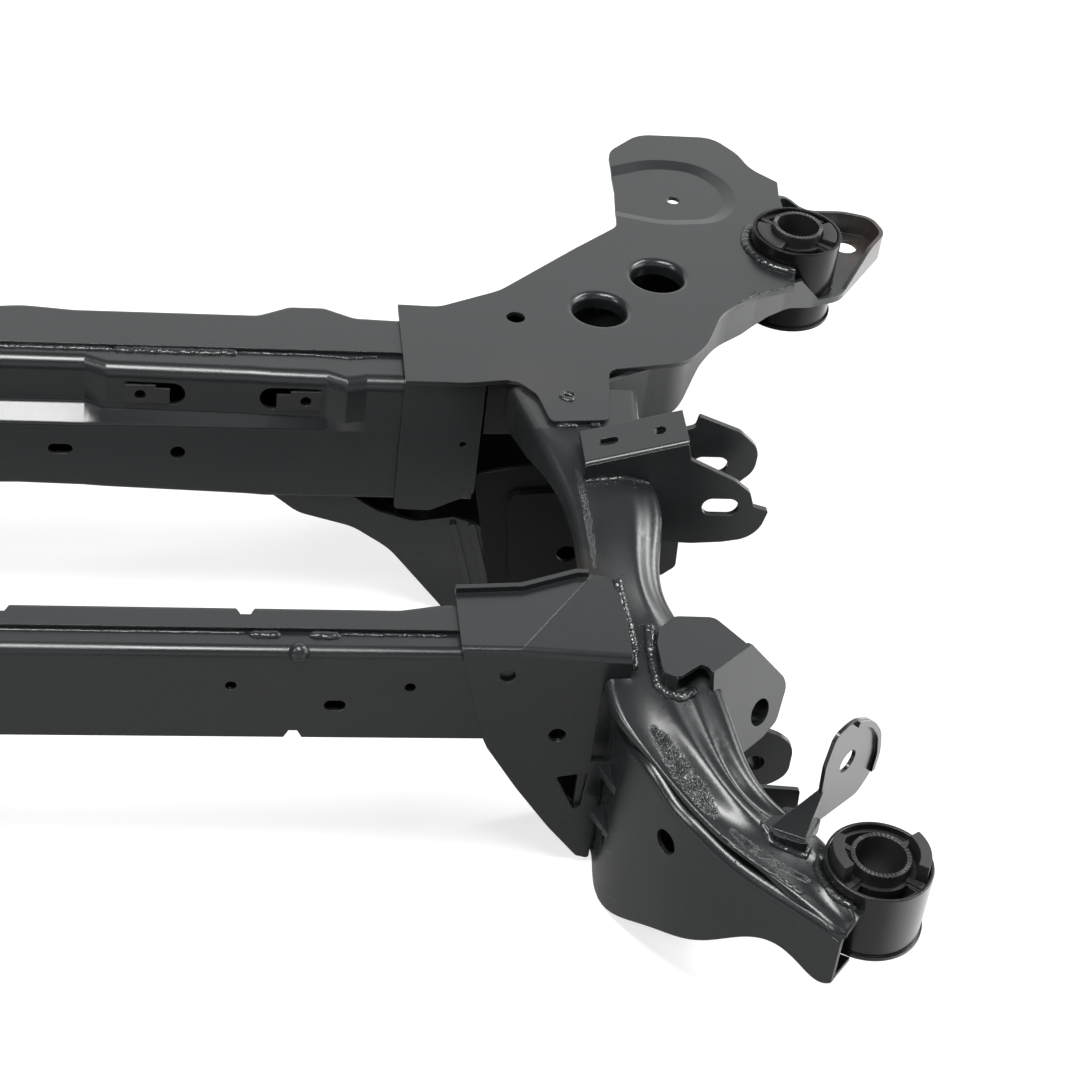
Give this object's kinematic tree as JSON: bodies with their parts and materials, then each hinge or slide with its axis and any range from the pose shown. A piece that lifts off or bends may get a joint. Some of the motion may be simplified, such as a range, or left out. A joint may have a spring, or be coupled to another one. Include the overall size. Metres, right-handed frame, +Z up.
{
  "type": "subframe",
  "caption": "Welded pressed-steel rear subframe: box crossmembers joined by sculpted side rails, with link brackets and a rubber-bushed mount at each corner.",
  "frame": {"origin": "middle of the bounding box in plan, at the lowest edge", "axes": "+X across the vehicle, +Y to its rear, +Z up along the bushing axes"},
  "size_m": [1.227, 0.734, 0.2247],
  "materials": {
    "frame_coat": "semi-gloss black dip coat",
    "can_coat": "thin black coat on the bushing cans",
    "rubber": "matt moulded rubber",
    "sleeve_steel": "plain steel with serrated end",
    "clip_steel": "dark spring steel"
  },
  "bodies": {
    "root": {"front_crossmember_channel": "frame_coat", "front_crossmember_closing_plate": "frame_coat", "rear_crossmember_channel": "frame_coat", "rear_crossmember_closing_plate": "frame_coat", "clip_nuts": "clip_steel", "right_rear_upper_plate": "frame_coat", "left_rear_upper_plate": "frame_coat", "right_rear_lower_shell": "frame_coat", "left_rear_lower_shell": "frame_coat", "right_rear_corner_plate": "frame_coat", "left_rear_corner_plate": "frame_coat", "right_pocket_rear_wall": "frame_coat", "left_pocket_rear_wall": "frame_coat", "right_lower_gusset": "frame_coat", "left_lower_gusset": "frame_coat", "right_pocket_back_wall": "frame_coat", "left_pocket_back_wall": "frame_coat", "right_side_rail": "frame_coat", "left_side_rail": "frame_coat", "right_rail_closing_plate": "frame_coat", "left_rail_closing_plate": "frame_coat", "right_front_corner_plate": "frame_coat", "left_front_corner_plate": "frame_coat", "right_front_corner_back_plate": "frame_coat", "left_front_corner_back_plate": "frame_coat", "right_front_outer_plate": "frame_coat", "left_front_outer_plate": "frame_coat", "right_front_arm_lower": "frame_coat", "left_front_arm_lower": "frame_coat", "right_upper_link_bracket": "frame_coat", "left_upper_link_bracket": "frame_coat", "right_upper_link_rear_ear": "frame_coat", "left_upper_link_rear_ear": "frame_coat", "right_lower_link_bracket": "frame_coat", "left_lower_link_bracket": "frame_coat", "right_lower_link_ear": "frame_coat", "left_lower_link_ear": "frame_coat", "right_arm_stop_plate": "frame_coat", "left_arm_stop_plate": "frame_coat", "right_line_tab": "frame_coat", "left_line_tab": "frame_coat", "right_front_bush_can": "can_coat", "left_front_bush_can": "can_coat", "right_front_bush_rubber": "rubber", "left_front_bush_rubber": "rubber", "right_front_bush_sleeve": "sleeve_steel", "left_front_bush_sleeve": "sleeve_steel", "right_rear_bush_can": "can_coat", "left_rear_bush_can": "can_coat", "right_rear_bush_rubber": "rubber", "left_rear_bush_rubber": "rubber", "right_rear_bush_sleeve": "sleeve_steel", "left_rear_bush_sleeve": "sleeve_steel"}
  },
  "joints": []
}
